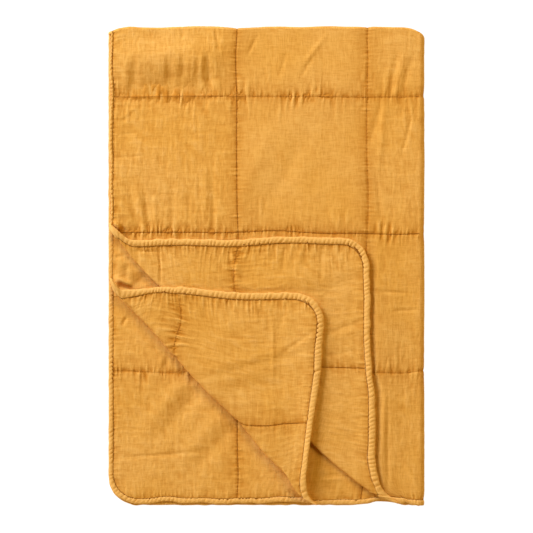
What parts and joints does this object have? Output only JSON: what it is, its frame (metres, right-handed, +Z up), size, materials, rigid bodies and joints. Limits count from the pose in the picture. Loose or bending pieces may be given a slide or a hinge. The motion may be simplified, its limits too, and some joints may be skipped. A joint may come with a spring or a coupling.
{
  "type": "folded quilted throw blanket",
  "caption": "Quilted cotton throw with bound edges, folded in four with two corners turned back; the upper half and the corners open on fold hinges.",
  "frame": {"origin": "centre of the folded throw's footprint, on the surface that it rests on", "axes": "+Z up out of the stack, +Y along the length towards the end fold, +X towards the side fold"},
  "size_m": [0.59, 0.892, 0.0294],
  "materials": {
    "face_cloth": "crinkled washed cotton gauze, matte",
    "backing_cloth": "crinkled washed cotton gauze, matte",
    "wadding": "needled cotton wadding",
    "binding_tape": "folded cotton binding, puckered and top-stitched",
    "quilting_thread": "cotton sewing thread"
  },
  "bodies": {
    "lower_half": {"bottom_panel_backing": "backing_cloth", "bottom_panel_binding": "binding_tape", "bottom_panel_face": "face_cloth", "bottom_panel_quilting": "quilting_thread", "bottom_panel_wadding": "wadding", "inner_side_fold_backing": "backing_cloth", "inner_side_fold_binding": "binding_tape", "inner_side_fold_face": "face_cloth", "inner_side_fold_wadding": "wadding", "lower_end_fold_backing": "backing_cloth", "lower_end_fold_binding": "binding_tape", "lower_end_fold_face": "face_cloth", "lower_end_fold_wadding": "wadding", "outer_side_fold_backing": "backing_cloth", "outer_side_fold_binding": "binding_tape", "outer_side_fold_face": "face_cloth", "outer_side_fold_wadding": "wadding", "third_panel_backing": "backing_cloth", "third_panel_binding": "binding_tape", "third_panel_face": "face_cloth", "third_panel_quilting": "quilting_thread", "third_panel_wadding": "wadding"},
    "upper_half": {"first_corner_fold_backing": "backing_cloth", "first_corner_fold_binding": "binding_tape", "first_corner_fold_face": "face_cloth", "first_corner_fold_wadding": "wadding", "second_corner_fold_backing": "backing_cloth", "second_corner_fold_binding": "binding_tape", "second_corner_fold_face": "face_cloth", "second_corner_fold_wadding": "wadding", "second_panel_backing": "backing_cloth", "second_panel_binding": "binding_tape", "second_panel_face": "face_cloth", "second_panel_quilting": "quilting_thread", "second_panel_wadding": "wadding", "top_panel_backing": "backing_cloth", "top_panel_binding": "binding_tape", "top_panel_face": "face_cloth", "top_panel_quilting": "quilting_thread", "top_panel_wadding": "wadding", "upper_end_fold_backing": "backing_cloth", "upper_end_fold_binding": "binding_tape", "upper_end_fold_face": "face_cloth", "upper_end_fold_wadding": "wadding"},
    "first_corner": {"first_corner_backing": "backing_cloth", "first_corner_binding": "binding_tape", "first_corner_face": "face_cloth", "first_corner_quilting": "quilting_thread", "first_corner_wadding": "wadding"},
    "second_corner": {"second_corner_backing": "backing_cloth", "second_corner_binding": "binding_tape", "second_corner_face": "face_cloth", "second_corner_quilting": "quilting_thread", "second_corner_wadding": "wadding"}
  },
  "joints": [
    {"name": "side_fold_opening", "type": "hinge", "parent": "lower_half", "child": "upper_half", "pos_m": [0.2928, 0, 0.0097], "axis": [0, 1, 0], "range_deg": [0, 180], "deforming": ["inner_side_fold_backing", "inner_side_fold_binding", "inner_side_fold_face", "inner_side_fold_wadding", "outer_side_fold_backing", "outer_side_fold_binding", "outer_side_fold_face", "outer_side_fold_wadding"]},
    {"name": "first_corner_opening", "type": "hinge", "parent": "upper_half", "child": "first_corner", "pos_m": [-0.1215, -0.1215, 0.0197], "axis": [0.7071, -0.7071, 0], "range_deg": [0, 180], "deforming": ["first_corner_fold_backing", "first_corner_fold_binding", "first_corner_fold_face", "first_corner_fold_wadding"]},
    {"name": "second_corner_opening", "type": "hinge", "parent": "upper_half", "child": "second_corner", "pos_m": [-0.1725, -0.1725, 0.0197], "axis": [0.7071, -0.7071, 0], "range_deg": [0, 180], "deforming": ["second_corner_fold_backing", "second_corner_fold_binding", "second_corner_fold_face", "second_corner_fold_wadding"]}
  ],
  "couplings": [
    {"joint": "second_corner_opening", "follows": "first_corner_opening", "ratio": 1}
  ]
}
